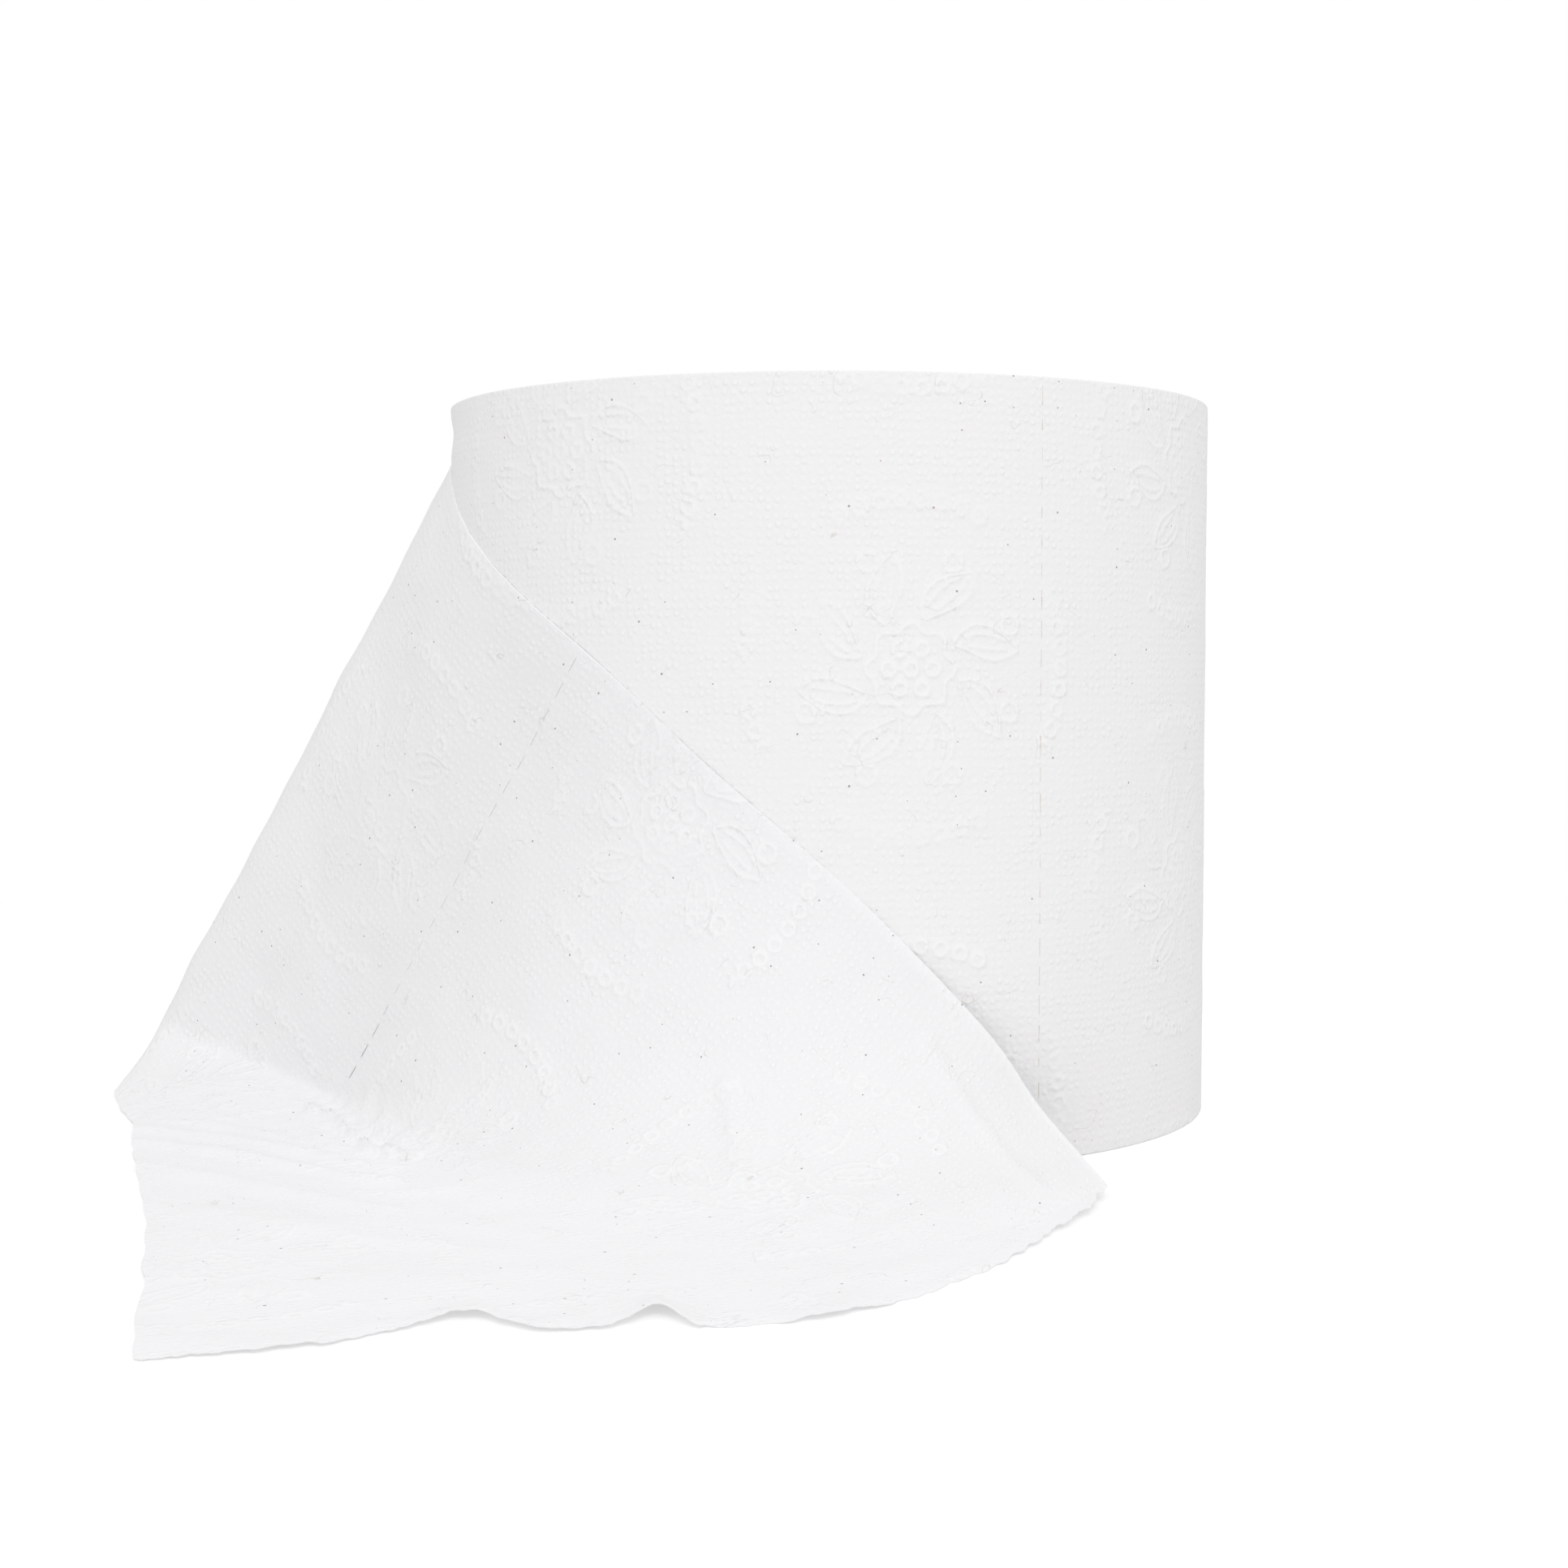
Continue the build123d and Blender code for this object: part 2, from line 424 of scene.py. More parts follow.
def turns_tree():
    """Spiral of paper edges, with inputs for its sizes."""
    kinds = {name: "Float" for name in ("Turns", "Inner Radius", "Outer Radius")}
    kinds |= {name: "Float" for name in ("Edge Width", "Edge Height", "Unevenness")}
    tree, sizes = new_tree("paper_turns", kinds | {"Finish": "Material"})
    add = tree.nodes.new
    spiral = add("GeometryNodeCurveSpiral")
    spiral.inputs["Resolution"].default_value = SPIRAL_STEPS
    spiral.inputs["Height"].default_value = 0.0
    link(tree, sizes, "Turns", spiral, "Rotations")
    link(tree, sizes, "Inner Radius", spiral, "Start Radius")
    link(tree, sizes, "Outer Radius", spiral, "End Radius")
    edge = add("GeometryNodeCurvePrimitiveQuadrilateral")
    link(tree, sizes, "Edge Width", edge, "Width")
    link(tree, sizes, "Edge Height", edge, "Height")
    sweep = add("GeometryNodeCurveToMesh")
    sweep.inputs["Fill Caps"].default_value = True
    link(tree, spiral, 0, sweep, "Curve")
    link(tree, edge, 0, sweep, "Profile Curve")
    noise = add("ShaderNodeTexNoise")
    noise.inputs["Scale"].default_value = NOISE_SCALE
    noise.inputs["Detail"].default_value = 1.0
    link(tree, add("GeometryNodeInputPosition"), 0, noise, "Vector")
    centred = add("ShaderNodeVectorMath")
    centred.operation = "SUBTRACT"
    centred.inputs[1].default_value = (0.5, 0.5, 0.5)
    link(tree, noise, "Color", centred, 0)
    amount = add("ShaderNodeVectorMath")
    amount.operation = "SCALE"
    link(tree, centred, 0, amount, 0)
    link(tree, sizes, "Unevenness", amount, "Scale")
    move = add("GeometryNodeSetPosition")
    link(tree, sweep, 0, move, "Geometry")
    link(tree, amount, 0, move, "Offset")
    close_tree(tree, sizes, move)
    return tree


turns = turns_tree()
print("turns tree with", len(turns.nodes), "nodes")

# %% [markdown]
# ## Rows of slits in the wall
#
# The web is perforated at every sheet, and three of the rows lie on the outer turn. A line
# of points beside the roll is thrown onto its wall by a ray, so that each slit sits on
# the uneven paper, and a thin darker plate, painted shade of the gap, stands for each
# slit. Some are shorter than others.

# %% A node tree for a row of slits
SLIT_SEED = 4
SLIT_LEAST = (1.0, 0.5, 0.45)
SLIT_MOST = (1.0, 1.3, 1.1)


def slits_tree():
    """Row of slits up the wall of the roll at one angle."""
    kinds = {"Wall": "Object", "Angle": "Float", "Count": "Int", "Pitch": "Float", "Start": "Float"}
    kinds |= {"Throw": "Float", "Slit Size": "Vector", "Finish": "Material"}
    tree, sizes = new_tree("slit_row", kinds)
    add = tree.nodes.new
    wall = add("GeometryNodeObjectInfo")
    link(tree, sizes, "Wall", wall, "Object")
    cosine, sine = add("ShaderNodeMath"), add("ShaderNodeMath")
    cosine.operation, sine.operation = "COSINE", "SINE"
    outward, turn, start, step = (add("ShaderNodeCombineXYZ") for count in range(4))
    for wave, socket in ((cosine, "X"), (sine, "Y")):
        link(tree, sizes, "Angle", wave, 0)
        link(tree, wave, 0, outward, socket)
    link(tree, sizes, "Angle", turn, "Z")
    link(tree, sizes, "Start", start, "Z")
    link(tree, sizes, "Pitch", step, "Z")
    line = add("GeometryNodeMeshLine")
    link(tree, sizes, "Count", line, "Count")
    link(tree, start, 0, line, "Start Location")
    link(tree, step, 0, line, "Offset")
    thrown, inward, source = (add("ShaderNodeVectorMath") for count in range(3))
    thrown.operation, inward.operation, source.operation = "SCALE", "SCALE", "ADD"
    inward.inputs["Scale"].default_value = -1.0
    link(tree, outward, 0, thrown, 0)
    link(tree, sizes, "Throw", thrown, "Scale")
    link(tree, outward, 0, inward, 0)
    link(tree, add("GeometryNodeInputPosition"), 0, source, 0)
    link(tree, thrown, 0, source, 1)
    ray = add("GeometryNodeRaycast")
    link(tree, wall, "Geometry", ray, "Target Geometry")
    link(tree, source, 0, ray, "Source Position")
    link(tree, inward, 0, ray, "Ray Direction")
    move = add("GeometryNodeSetPosition")
    link(tree, line, 0, move, "Geometry")
    link(tree, ray, "Hit Position", move, "Position")
    plate = add("GeometryNodeMeshCube")
    link(tree, sizes, "Slit Size", plate, "Size")
    length = add("FunctionNodeRandomValue")
    length.data_type = "FLOAT_VECTOR"
    length.inputs["Min"].default_value = SLIT_LEAST
    length.inputs["Max"].default_value = SLIT_MOST
    length.inputs["Seed"].default_value = SLIT_SEED
    row = add("GeometryNodeInstanceOnPoints")
    link(tree, move, 0, row, "Points")
    link(tree, plate, "Mesh", row, "Instance")
    link(tree, turn, 0, row, "Rotation")
    link(tree, length, "Value", row, "Scale")
    close_tree(tree, sizes, row)
    return tree


slits = slits_tree()
print("slits tree with", len(slits.nodes), "nodes")

# %% [markdown]
# ## Finishes
#
# A small class lets shader maths be written as plain sums. Each term wraps a socket, and
# an operator adds the Math node that it stands for. Numpy hands its functions on to the
# class too, so that the formula of the pattern also works in a material.

# %% Shader maths
NUMPY_NODES = {
    np.absolute: "ABSOLUTE", np.arctan2: "ARCTAN2", np.cos: "COSINE", np.exp: "EXPONENT",
    np.maximum: "MAXIMUM", np.minimum: "MINIMUM", np.sin: "SINE", np.sqrt: "SQRT",
}


class Term:
    """A value in a material, which sums and products can be written with."""

    def __init__(self, tree, socket):
        self.tree = tree
        self.socket = socket

    def math(self, operation, *values):
        return node(self.tree, "ShaderNodeMath", {"operation": operation}, dict(enumerate(values)))

    def into(self, target, name):
        self.tree.links.new(self.socket, target.inputs[name])

    def __array_ufunc__(self, function, method, *values):
        return self.math(NUMPY_NODES[function], *values)

    def __add__(self, other):
        return self.math("ADD", self, other)

    def __sub__(self, other):
        return self.math("SUBTRACT", self, other)

    def __mul__(self, other):
        return self.math("MULTIPLY", self, other)

    def __mod__(self, other):
        return self.math("FLOORED_MODULO", self, other)

    def __lt__(self, other):
        return self.math("LESS_THAN", self, other)

    def __gt__(self, other):
        return self.math("GREATER_THAN", self, other)


def node(tree, kind, settings=None, sockets=None, output=0):
    """Add a node: its settings first, then the values or links of its sockets."""
    made = tree.nodes.new(kind)
    for name, value in (settings or {}).items():
        setattr(made, name, value)
    for name, value in (sockets or {}).items():
        if isinstance(value, Term):
            value.into(made, name)
        else:
            made.inputs[name].default_value = value
    return Term(tree, made.outputs[output])


def parts_of(vector):
    """The three parts of a vector or colour, as terms."""
    split = node(vector.tree, "ShaderNodeSeparateXYZ", {}, {0: vector})
    return [Term(vector.tree, socket) for socket in split.socket.node.outputs]


def new_finish(name):
    """A material with a shader on it, and its tree and shader node."""
    finish = bpy.data.materials.new(name)
    finish.use_nodes = True
    return finish, finish.node_tree, finish.node_tree.nodes["Principled BSDF"]


def mix_colour(tree, share, first, second):
    """Colour between two colours."""
    sockets = {0: share, 6: first, 7: second}
    return node(tree, "ShaderNodeMix", {"data_type": "RGBA"}, sockets, output=2)


def rising(tree, value, low, high):
    """Share from 0 to 1 as a value goes smoothly from a low to a high one."""
    sockets = {0: value, 1: low, 2: high}
    return node(tree, "ShaderNodeMapRange", {"interpolation_type": "SMOOTHSTEP"}, sockets)


def at_least(low, share):
    """Share that goes up to 1 from a low value in place of 0."""
    return share * (1 - low) + low


# %% [markdown]
# ## The tissue
#
# White recycled tissue: matt, with a fine grain of pressed dots, soft fibres and tiny dark
# specks. The wound paper is a little warmer than the loose end, and what stands out is
# painted a little whiter, a painted highlight on the raised dots and lines. All heights
# below are in mm and go into one bump, which reads the web place that each corner carries.
# The dots and the lines come and go, as they do on soft paper. Thin paper is also painted
# whiter where it lies on something white, and greyer where only air is behind it, as
# painted light for the light that comes through it; the third part of the web place
# carries this painted backlight, which also paints a bright line along the leaning edge.

# %% Tissue finish
DOT_STEP = 1.05
DOT_HEIGHT = 0.085
DOT_RANDOMNESS = 0.5
DOT_SPREAD = (0.48, 0.08)
LEAST_DOT = 0.4
SPECK_STEP = 3.3
SPECK_SIZE = 0.045
SPECK_CHANCE = 0.25
SPECK_SHARE = 0.75
TINTED_CHANCE = 0.15
PATCH_SCALE = 0.22
PATCH_LEVELS = (0.3, 0.65)
CLOUD_SCALE = 0.06
CLOUD_SHARE = 0.4
HAIR_SCALE = 0.16
HAIR_WIDTH = 0.0022
HAIR_LEVELS = (0.58, 0.62)
HAIR_SHARE = 0.3
FIBRE_SCALE = 2.4
FIBRE_HEIGHT = 0.05
LINE_HEIGHT = 0.095
LINE_SOFTNESS = 0.36
LINE_LEVELS = (0.32, 0.62)
LINE_PATCHES = 0.5
LEAST_LINE = 0.3
# painted light: tissue colours with no light and with light coming through from something white behind
NO_BACKLIGHT_TISSUE = (0.900, 0.900, 0.904, 1)
BACKLIT_TISSUE = (0.940, 0.940, 0.947, 1)
WALL_COLOURS = (0.925, 0.914, 0.912, 1), (0.937, 0.926, 0.924, 1)
# painted highlight: raised dots and lines are painted whiter
HIGHLIGHT_COLOUR = (0.985, 0.985, 0.985, 1)
HIGHLIGHT_SHARE = 0.5
SPECK = (0.26, 0.24, 0.23, 1)
TINTED_SPECK = (0.42, 0.24, 0.26, 1)
HAIR = (0.55, 0.50, 0.42, 1)


def noise(tree, place, scale, detail):
    """Smooth noise at places, with a scale per mm on the web and per metre elsewhere."""
    return node(tree, "ShaderNodeTexNoise", {}, {"Vector": place, "Scale": scale, "Detail": detail})


def cells(tree, place, step, randomness):
    """Distance from the middles of cells on the web, and three random values of each cell."""
    sockets = {"Vector": place, "Scale": 1 / step, "Randomness": randomness}
    near = node(tree, "ShaderNodeTexVoronoi", {"voronoi_dimensions": "2D"}, sockets, "Distance")
    return near, parts_of(Term(tree, near.socket.node.outputs["Color"]))


def specks(tree, place):
    """Share of tiny round specks at places on the web, and their colour."""
    near, (chance, spread, tint) = cells(tree, place, SPECK_STEP, 1.0)
    share = (near < spread * SPECK_SIZE) * (chance > 1 - SPECK_CHANCE)
    return share, mix_colour(tree, tint > 1 - TINTED_CHANCE, SPECK, TINTED_SPECK)


def tissue_finish(name, colour_without_backlight, colour_with_backlight):
    """Finish of the paper's face: painted backlight between its colours over air and over something white,
    and painted highlights on raised lines.
    """
    finish, tree, shader = new_finish(name)
    place = node(tree, "ShaderNodeAttribute", {"attribute_name": "web"}, output="Vector")
    along, up, backlight_share = parts_of(place)
    patch = noise(tree, place, PATCH_SCALE, 1.0)
    off_dot, dot_values = cells(tree, place, DOT_STEP, DOT_RANDOMNESS)
    dots = rising(tree, off_dot, *DOT_SPREAD) * at_least(LEAST_DOT, dot_values[0])
    dots = dots * at_least(LEAST_DOT, rising(tree, patch, *PATCH_LEVELS))
    hair = np.abs(noise(tree, place, HAIR_SCALE, 1.5) - 0.5) < HAIR_WIDTH
    hair = hair * rising(tree, patch, *HAIR_LEVELS)
    cloud = noise(tree, place, CLOUD_SCALE, 2.0)
    # painted light: the backlight share whitens the paper over the floor and along the leaning edge
    ground = mix_colour(tree, backlight_share + (cloud - 0.5) * CLOUD_SHARE, colour_without_backlight, colour_with_backlight)
    strong = at_least(LEAST_LINE, rising(tree, cloud + (patch - 0.5) * LINE_PATCHES, *LINE_LEVELS))
    lines = pressed(along, up, LINE_SOFTNESS) * strong
    # painted highlight on the raised dots and lines
    ground = mix_colour(tree, np.maximum(dots, lines) * HIGHLIGHT_SHARE, ground, HIGHLIGHT_COLOUR)
    speck, speck_colour = specks(tree, place)
    colour = mix_colour(tree, hair * HAIR_SHARE, ground, HAIR)
    colour = mix_colour(tree, speck * SPECK_SHARE, colour, speck_colour)
    colour.into(shader, "Base Color")
    fibres = noise(tree, place, FIBRE_SCALE, 4.0)
    height = dots * DOT_HEIGHT + lines * LINE_HEIGHT + fibres * FIBRE_HEIGHT
    bump = node(tree, "ShaderNodeBump", {}, {"Height": height, "Strength": 1.0, "Distance": MM}, "Normal")
    bump.into(shader, "Normal")
    shader.inputs["Roughness"].default_value = 0.92
    shader.inputs["Specular IOR Level"].default_value = 0.15
    return finish


tissue = tissue_finish("tissue", NO_BACKLIGHT_TISSUE, BACKLIT_TISSUE)
wall_tissue = tissue_finish("wall_tissue", *WALL_COLOURS)
wound_roll.data.materials.append(wall_tissue)
print("tissue with", len(tissue.node_tree.nodes), "nodes")

# %% [markdown]
# ## Ends of the turns and rows of slits
#
# The cut edges of the paper are painted a little greyer and warmer than its face, as painted
# shade, because light is lost between the turns. The slit plates are painted shade too,
# darker still and a little tan, for the shadow inside the real gaps.

# %% Finishes of edges and slits
# painted shade: greyer edges between the turns and darker slit plates
EDGE_SHADE_COLOURS = (0.80, 0.79, 0.77, 1), (0.90, 0.895, 0.885, 1)
SLIT_SHADE_COLOURS = (0.70, 0.66, 0.61, 1), (0.86, 0.84, 0.81, 1)
GRAIN_SCALE = 700.0
GRAIN_LEVELS = (0.3, 0.7)


def edge_finish(name, dark, light):
    """Matt grainy finish between two colours, used for painted shade."""
    finish, tree, shader = new_finish(name)
    place = node(tree, "ShaderNodeTexCoord", {}, {}, "Object")
    grain = noise(tree, place, GRAIN_SCALE, 3.0)
    colour = mix_colour(tree, rising(tree, grain, *GRAIN_LEVELS), dark, light)
    colour.into(shader, "Base Color")
    shader.inputs["Roughness"].default_value = 0.95
    shader.inputs["Specular IOR Level"].default_value = 0.1
    return finish


# painted shade on the ends of the turns and in the slits
paper_edges = edge_finish("paper_edges", *EDGE_SHADE_COLOURS)
slit_shade = edge_finish("slit_shade", *SLIT_SHADE_COLOURS)

# %% Turns on both ends
TURNS = 46
EDGE_HEIGHT = 0.8
EDGE_WIDTH = 0.38
END_ROOM = 0.25
CORE_MARGIN = 0.5
RIM_MARGIN = 0.6
UNEVENNESS = 0.22

turn_sizes = {
    "Turns": TURNS,
    "Inner Radius": (CORE_RADIUS + CORE_MARGIN) * MM,
    "Outer Radius": (ROLL_RADIUS - RIM_ROUND - RIM_MARGIN) * MM,
    "Edge Width": EDGE_WIDTH * MM,
    "Edge Height": EDGE_HEIGHT * MM,
    "Unevenness": UNEVENNESS * MM,
    "Finish": paper_edges,
}
end_level = EDGE_HEIGHT / 2 + END_ROOM
top_turns = grown("top_turns", turns, turn_sizes, Matrix.Translation((0, 0, (ROLL_HEIGHT - end_level) * MM)))
base_turns = grown("base_turns", turns, turn_sizes, Matrix.Translation((0, 0, end_level * MM)))

# %% Three rows of slits
SLIT_PITCH = 3.5
SLIT_SIZE = (0.05, 0.11, 2.2)
THROW_ROOM = 10.0
SLIT_ROWS = {"front_slits": 298.8, "back_slits": 90.0, "rear_left_slits": 147.6}

# the slit plates carry painted shade for the gaps
slit_sizes = {
    "Wall": wound_roll,
    "Count": int(ROLL_HEIGHT / SLIT_PITCH),
    "Pitch": SLIT_PITCH * MM,
    "Start": SLIT_PITCH / 2 * MM,
    "Throw": (ROLL_RADIUS + THROW_ROOM) * MM,
    "Slit Size": tuple(size * MM for size in SLIT_SIZE),
    "Finish": slit_shade,
}
slit_rows = [
    grown(name, slits, slit_sizes | {"Angle": math.radians(angle)}, Matrix())
    for name, angle in SLIT_ROWS.items()
]

# %% [markdown]
# ## The loose end
#
# The outer turn leaves the roll at the back left, stands away from it, leans against its
# front, folds near the floor and lies flat. It could be draped by a simulation, but the
# picture shows exactly one drape, so cross lines follow it. Each cross line has a
# point on the leaning edge, one at the fold and one on the floor edge, and smooth curves
# join those points from line to line.

# %% Cross lines of the loose end
# lean angle, lean height as a share of the roll's height, lean reach,
# fold angle, fold reach, fold height, floor edge angle, floor edge reach, bend
CROSS_LINES = np.array([
    (112.0, 0.985, -2.0, 112.0, -2.0, 9.0, 112.0, -2.0, 5.0),
    (126.0, 0.983, -0.7, 127.5, 0.5, 9.0, 128.0, 0.7, 5.0),
    (141.0, 0.978, 0.0, 143.5, 6.2, 9.0, 144.5, 6.7, 5.0),
    (155.0, 0.968, 0.0, 156.5, 15.8, 9.0, 158.0, 16.8, 5.0),
    (170.0, 0.948, -0.15, 167.0, 31.5, 9.0, 169.3, 32.9, 4.5),
    (185.5, 0.912, -0.2, 173.5, 44.8, 8.5, 176.8, 48.0, 2.4),
    (205.0, 0.812, -0.1, 178.6, 30.0, 4.5, 185.3, 45.6, 1.4),
    (233.6, 0.654, 0.0, 190.5, 15.9, 1.0, 195.4, 42.6, 2.0),
    (254.0, 0.499, 0.0, 226.3, 12.0, 0.0, 210.8, 46.0, 15.0),
    (273.2, 0.340, 0.0, 251.0, 16.0, 0.0, 225.0, 55.7, 26.0),
    (288.5, 0.184, 1.0, 271.5, 22.5, 0.0, 235.7, 71.7, 30.0),
    (295.4, 0.075, 5.0, 276.5, 32.7, 0.0, 240.4, 82.7, 32.2),
    (295.5, 0.010, 19.8, 279.0, 42.0, 0.0, 243.8, 91.7, 34.0),
])
PAST_TEAR_LEAN = (292.8, 51.3)
PAST_TEAR_EDGE = (248.9, 109.0)
LEAN_CLEARANCE = 0.06
FLOOR_RISE = 0.28
BEND_SHARE = 0.9
LAST_LINE = len(CROSS_LINES) - 1


def round_the_core(angle, reach, height):
    """Points at angles round the core, reaches out from the roll and heights."""
    out = ROLL_RADIUS + reach
    turned = np.radians(angle)
    height = np.broadcast_to(height, np.shape(out * turned))
    return np.stack([out * np.cos(turned), out * np.sin(turned), height], axis=-1)


def line_sizes(place):
    """Sizes of the cross lines at places counted in rows of CROSS_LINES."""
    row = np.clip(place.astype(int), 0, LAST_LINE - 1)
    share = (np.minimum(place, LAST_LINE) - row)[..., None]
    before, start, end, after = (CROSS_LINES[np.clip(row + step, 0, LAST_LINE)] for step in (-1, 0, 1, 2))
    fade = 3 * share**2 - 2 * share**3
    leave = share * (1 - share) ** 2 * (end - before) / 2
    arrive = share**2 * (share - 1) * (after - start) / 2
    return np.moveaxis(start * (1 - fade) + end * fade + leave + arrive, -1, 0)


def between(first, second, share):
    """Points between two rows of points."""
    return first + (second - first) * share[..., None]


def loose_sheet(place, across):
    """Points of the loose end: place in rows, across from 0 at the floor edge to 1."""
    sizes = line_sizes(place)
    lean = round_the_core(sizes[0], LEAN_CLEARANCE + sizes[2], FLOOR_RISE + sizes[1] * ROLL_HEIGHT)
    fold = round_the_core(sizes[3], sizes[4], FLOOR_RISE + sizes[5])
    edge = round_the_core(sizes[6], sizes[7], np.full_like(place, FLOOR_RISE))
    lean_leg = np.linalg.norm(lean - fold, axis=-1)
    edge_leg = np.linalg.norm(edge - fold, axis=-1)
    start = between(fold, edge, np.minimum(sizes[8] / edge_leg, BEND_SHARE))
    end = between(fold, lean, np.minimum(sizes[8] / lean_leg, BEND_SHARE))
    flat = np.linalg.norm(start - edge, axis=-1)
    chord = np.linalg.norm(end - start, axis=-1)
    around = np.linalg.norm(fold - start, axis=-1) + np.linalg.norm(end - fold, axis=-1)
    bend = (2 * chord + around) / 3
    steep = np.linalg.norm(lean - end, axis=-1)
    travelled = across * (flat + bend + steep)
    on_floor = between(edge, start, np.clip(travelled / flat, 0, 1))
    turn = np.clip((travelled - flat) / bend, 0, 1)
    on_bend = between(between(start, fold, turn), between(fold, end, turn), turn)
    on_lean = between(end, lean, np.clip((travelled - flat - bend) / steep, 0, 1))
    points = np.where((travelled < flat)[..., None], on_floor, on_bend)
    points = np.where((travelled > flat + bend)[..., None], on_lean, points)
    past_lean = round_the_core(np.array(PAST_TEAR_LEAN[0]), np.array(PAST_TEAR_LEAN[1]), FLOOR_RISE)
    past_edge = round_the_core(np.array(PAST_TEAR_EDGE[0]), np.array(PAST_TEAR_EDGE[1]), FLOOR_RISE)
    past = past_edge + (past_lean - past_edge) * across[..., None]
    return between(points, past, np.clip(place - LAST_LINE, 0, 1))


# %% [markdown]
# The length along the web at each cross line is measured on the sheet itself, so that the
# pressed pattern keeps its size where the loose end spreads out.

# %% Length along the loose end
MEASURE_ROWS = 481
MEASURE_COLUMNS = 9
PERFORATION_PLACE = 7.0


def along_at(place):
    """Length along the web at places counted in rows of CROSS_LINES."""
    return np.interp(place, measure_places, measure_along)


measure_places = np.linspace(0, LAST_LINE + 1, MEASURE_ROWS)
measure_across = np.linspace(0, 1, MEASURE_COLUMNS)
measured = loose_sheet(*np.meshgrid(measure_places, measure_across, indexing="ij"))
steps = np.linalg.norm(np.diff(measured, axis=0), axis=-1).mean(axis=1)
measure_along = np.concatenate([[0], np.cumsum(steps)])
leave_place = np.interp(LEAVE_ANGLE, CROSS_LINES[:, 0], np.arange(LAST_LINE + 1))
measure_along -= along_at(leave_place)
perforation_along = float(along_at(PERFORATION_PLACE))
print("web from the roll to the perforation", round(perforation_along, 1), "mm")

# %% [markdown]
# ## The torn end
#
# The last sheet was torn off by hand, so its end is a ragged slant. The tear is a line of
# angles and reaches seen from above. Each column of the grid stops where it meets that
# line, and small teeth of fibres are added to it.

# %% Where each column of the sheet is torn off
TEAR = np.array([
    (242.0, 97.0), (246.4, 89.0), (250.0, 80.8), (252.0, 71.8), (253.4, 69.4),
    (256.2, 72.6), (259.3, 71.2), (261.3, 65.1), (263.4, 69.1), (269.0, 65.2),
    (274.6, 54.9), (279.0, 46.1), (285.6, 33.6), (295.9, 19.1), (299.0, 16.0),
])
TOOTH = 0.017
TOOTH_LENGTHS = (1.6, 3.0, 7.0)
TOOTH_SEED = 11
TEAR_FROM = 8.5
TEAR_STEPS = 1400


def torn_place(across):
    """Place in rows of CROSS_LINES where the sheet ends, for each share across it."""
    places = np.linspace(TEAR_FROM, LAST_LINE + 1, TEAR_STEPS)
    grid_place, grid_across = np.meshgrid(places, across, indexing="ij")
    points = loose_sheet(grid_place, grid_across)
    angle = np.degrees(np.arctan2(points[..., 1], points[..., 0])) % 360
    reach = np.hypot(points[..., 0], points[..., 1]) - ROLL_RADIUS
    gone = reach > np.interp(angle, TEAR[:, 0], TEAR[:, 1])
    first = np.argmax(gone, axis=0)
    up = across * ROLL_HEIGHT
    ragged = sum(uneven(up, up * 0, length, TOOTH_SEED) for length in TOOTH_LENGTHS)
    return places[first] + TOOTH * ragged


# %% [markdown]
# ## Folds and creases
#
# The drape has small folds that tell paper from cloth: soft ripples on the flat part,
# sharp creases where it was bent, and arched spots where the torn end doesn't lie flat.
# Each is a short formula on the web, in mm out of the sheet.

# %% Folds of the loose end
# line of places along and up the web, height and half width
CREASES = [
    ([(183.5, 88.0), (193.9, 85.0), (202.9, 84.0), (208.0, 84.4)], 0.55, 2.2),
    ([(166.9, 68.1), (173.4, 64.3), (180.2, 60.7)], 0.5, 2.0),
    ([(188.5, 62.8), (193.0, 61.0), (197.0, 60.6)], 0.3, 1.5),
    ([(113.0, 21.5), (121.0, 25.2), (127.7, 26.2), (136.0, 28.8), (141.0, 32.5)], 0.75, 1.1),
    ([(112.0, 4.0), (122.0, 14.0), (131.0, 21.0)], 0.35, 2.0),
    ([(116.0, 0.5), (128.0, 13.0), (146.0, 30.0)], 0.5, 3.0),
    ([(125.0, 0.5), (137.0, 13.0), (154.0, 29.0)], 0.6, 3.2),
    ([(141.0, 0.5), (152.0, 12.0), (168.0, 26.0)], 0.45, 4.0),
    ([(160.0, 0.5), (172.0, 14.0), (190.0, 30.0)], 0.35, 5.0),
]
CREASE_POWER = 1.5
# height, length and seed of the soft waves
SHEET_WAVES = [(0.2, 24.0, 21), (0.08, 8.0, 22)]
# place up the web, height and half width of the arches in the torn end
ARCHES = [(25.2, 0.85, 4.0), (40.2, 0.9, 2.8), (55.0, 0.35, 4.0), (9.0, 0.25, 5.0)]
ARCH_REACH = 5.0
CRUMPLED_CREASE = 3
CRUMPLE_HEIGHT = 0.34
CRUMPLE_REACH = 5.0
CRUMPLE_LENGTH = 3.6
CRUMPLE_SEED = 23
EDGE_LIFT = 0.06
LIFT_LENGTH = 15.0
LIFT_SEED = 24
EDGE_DROP = 0.18
CURL_HEIGHT = 0.4
CURL_PLACE = 191.0
CURL_SIZE = (9.0, 2.5)
BEAD_HEIGHT = 0.06
BEAD_WIDTH = 0.6
LEAN_FADE = 6.0


def line_distance(along, up, line):
    """Distance in mm to a line of places on the web."""
    nearest = np.full_like(along, np.inf)
    for (start_along, start_up), (end_along, end_up) in zip(line, line[1:]):
        run, climb = end_along - start_along, end_up - start_up
        share = ((along - start_along) * run + (up - start_up) * climb) / (run**2 + climb**2)
        share = np.clip(share, 0, 1)
        off_along = along - start_along - share * run
        off_up = up - start_up - share * climb
        nearest = np.minimum(nearest, np.hypot(off_along, off_up))
    return nearest


